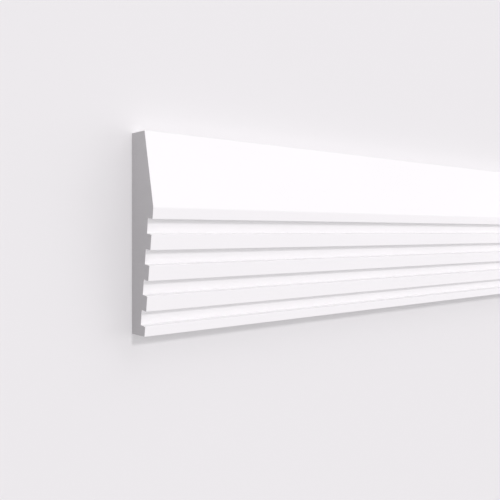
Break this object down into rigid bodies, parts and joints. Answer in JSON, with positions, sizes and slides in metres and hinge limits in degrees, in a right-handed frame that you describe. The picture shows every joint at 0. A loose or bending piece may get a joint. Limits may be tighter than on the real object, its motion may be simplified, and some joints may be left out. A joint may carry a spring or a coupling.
{
  "type": "panel moulding",
  "caption": "White-primed wall panel moulding: a straight stock length with a flat back, a plain sloped upper face, a ridge, a grooved sloped lower face and square sawn ends.",
  "frame": {"origin": "middle of the flat back face, which lies on the floor", "axes": "+X along the length, +Y from the bottom edge to the top edge as it goes on a wall, +Z out of the back face towards the room"},
  "size_m": [2, 0.1, 0.02],
  "materials": {
    "white_primer": "smooth matt white primer on moulded rigid foam, with sawn grey-white foam at the ends and back"
  },
  "bodies": {
    "root": {"panel_moulding": "white_primer"}
  },
  "joints": []
}
